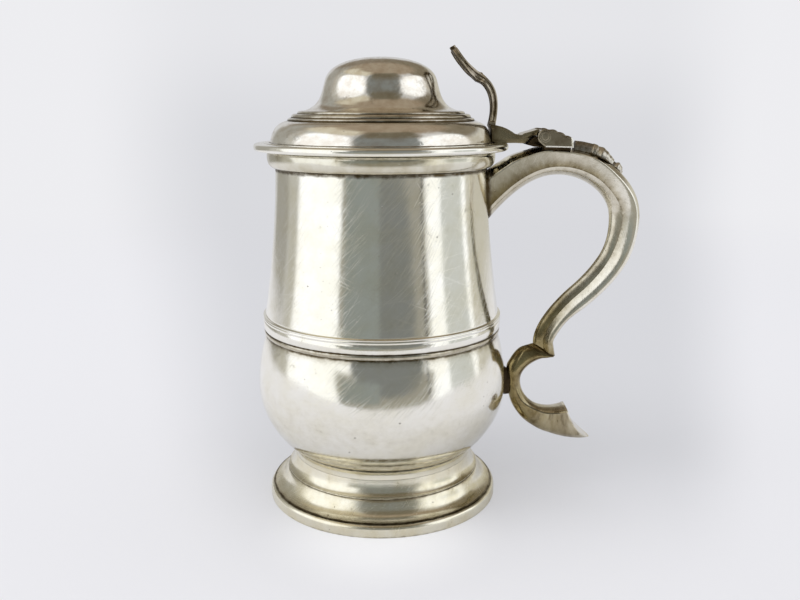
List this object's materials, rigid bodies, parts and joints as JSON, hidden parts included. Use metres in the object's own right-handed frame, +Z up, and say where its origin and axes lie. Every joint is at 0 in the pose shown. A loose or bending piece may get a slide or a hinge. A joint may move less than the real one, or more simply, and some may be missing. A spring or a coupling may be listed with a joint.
{
  "type": "lidded tankard",
  "caption": "Lidded baluster tankard with a domed hinged lid, scrolled openwork thumbpiece, moulded foot and hollow double-scroll handle, for drinks.",
  "frame": {"origin": "on the resting plane under the foot, at the middle of the whole object's box", "axes": "+Z up along the vessel's axis, +X from the vessel towards the handle, +Y along the hinge's pin"},
  "size_m": [0.174, 0.1148, 0.2059],
  "materials": {
    "polished_silver": "polished silver with fine scratches",
    "worn_silver": "handled silver, softly worn",
    "tarnished_silver": "tarnished silver, brown in the recesses"
  },
  "bodies": {
    "vessel": {"vessel_body": "polished_silver", "mouth_rim_band": "polished_silver", "girdle_band": "polished_silver", "foot_collar": "polished_silver", "foot_pedestal": "polished_silver", "foot_rim_wire": "polished_silver", "handle_outer_shell": "worn_silver", "handle_inner_strap": "worn_silver", "handle_scroll_shell": "tarnished_silver", "handle_scroll_strap": "tarnished_silver", "handle_tail_plate": "worn_silver", "handle_lower_pad": "tarnished_silver", "handle_leaf_drop": "tarnished_silver", "hinge_saddle": "tarnished_silver", "hinge_end_plate_near": "tarnished_silver", "hinge_end_plate_far": "tarnished_silver", "hinge_knuckle_near": "tarnished_silver", "hinge_knuckle_centre": "tarnished_silver", "hinge_knuckle_far": "tarnished_silver", "hinge_pin": "tarnished_silver"},
    "lid": {"lid_dome": "polished_silver", "lid_rim_wire": "polished_silver", "lid_bezel": "worn_silver", "lid_hinge_strap": "worn_silver", "lid_knuckle_near": "tarnished_silver", "lid_knuckle_far": "tarnished_silver", "thumbpiece": "tarnished_silver"}
  },
  "joints": [
    {"name": "lid_hinge", "type": "hinge", "parent": "vessel", "child": "lid", "pos_m": [0.04142, 0, 0.1671], "axis": [0, 1, 0], "range_deg": [0, 105]}
  ]
}
